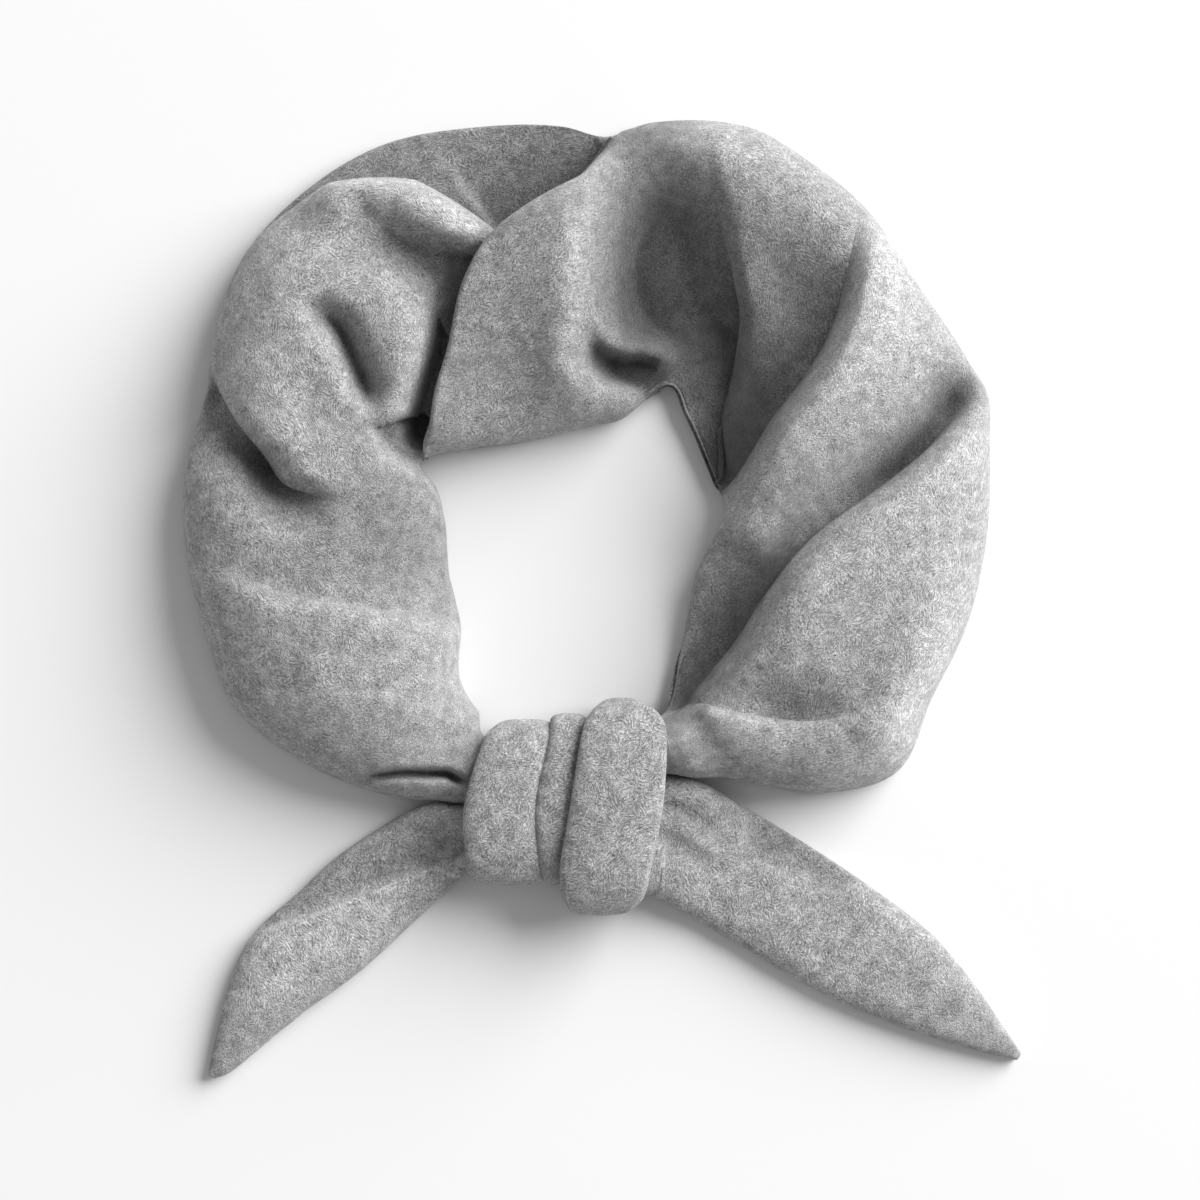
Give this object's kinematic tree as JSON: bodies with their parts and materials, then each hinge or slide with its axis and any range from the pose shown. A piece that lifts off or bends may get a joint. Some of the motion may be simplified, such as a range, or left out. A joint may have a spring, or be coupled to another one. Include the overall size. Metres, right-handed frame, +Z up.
{
  "type": "neckerchief",
  "caption": "Brushed wool neckerchief, rolled into a band and tied in a loop with a flat front knot and free pointed tails, lying on its back.",
  "frame": {"origin": "middle of the whole object's underside, on the surface that it lies on", "axes": "+Z up from that surface, +Y from the knot towards the back of the neck, +X to the right seen from above"},
  "size_m": [0.3092, 0.3536, 0.0402],
  "materials": {
    "wool_band": "brushed heathered wool, matt with a raised nap",
    "wool_knot": "brushed heathered wool, matt with a raised nap",
    "wool_tail": "brushed heathered wool, matt with a raised nap"
  },
  "bodies": {
    "root": {"neck_band": "wool_band", "knot_left_turn": "wool_knot", "knot_middle_turn": "wool_knot", "knot_right_turn": "wool_knot", "left_tail": "wool_tail", "right_tail": "wool_tail"}
  },
  "joints": []
}
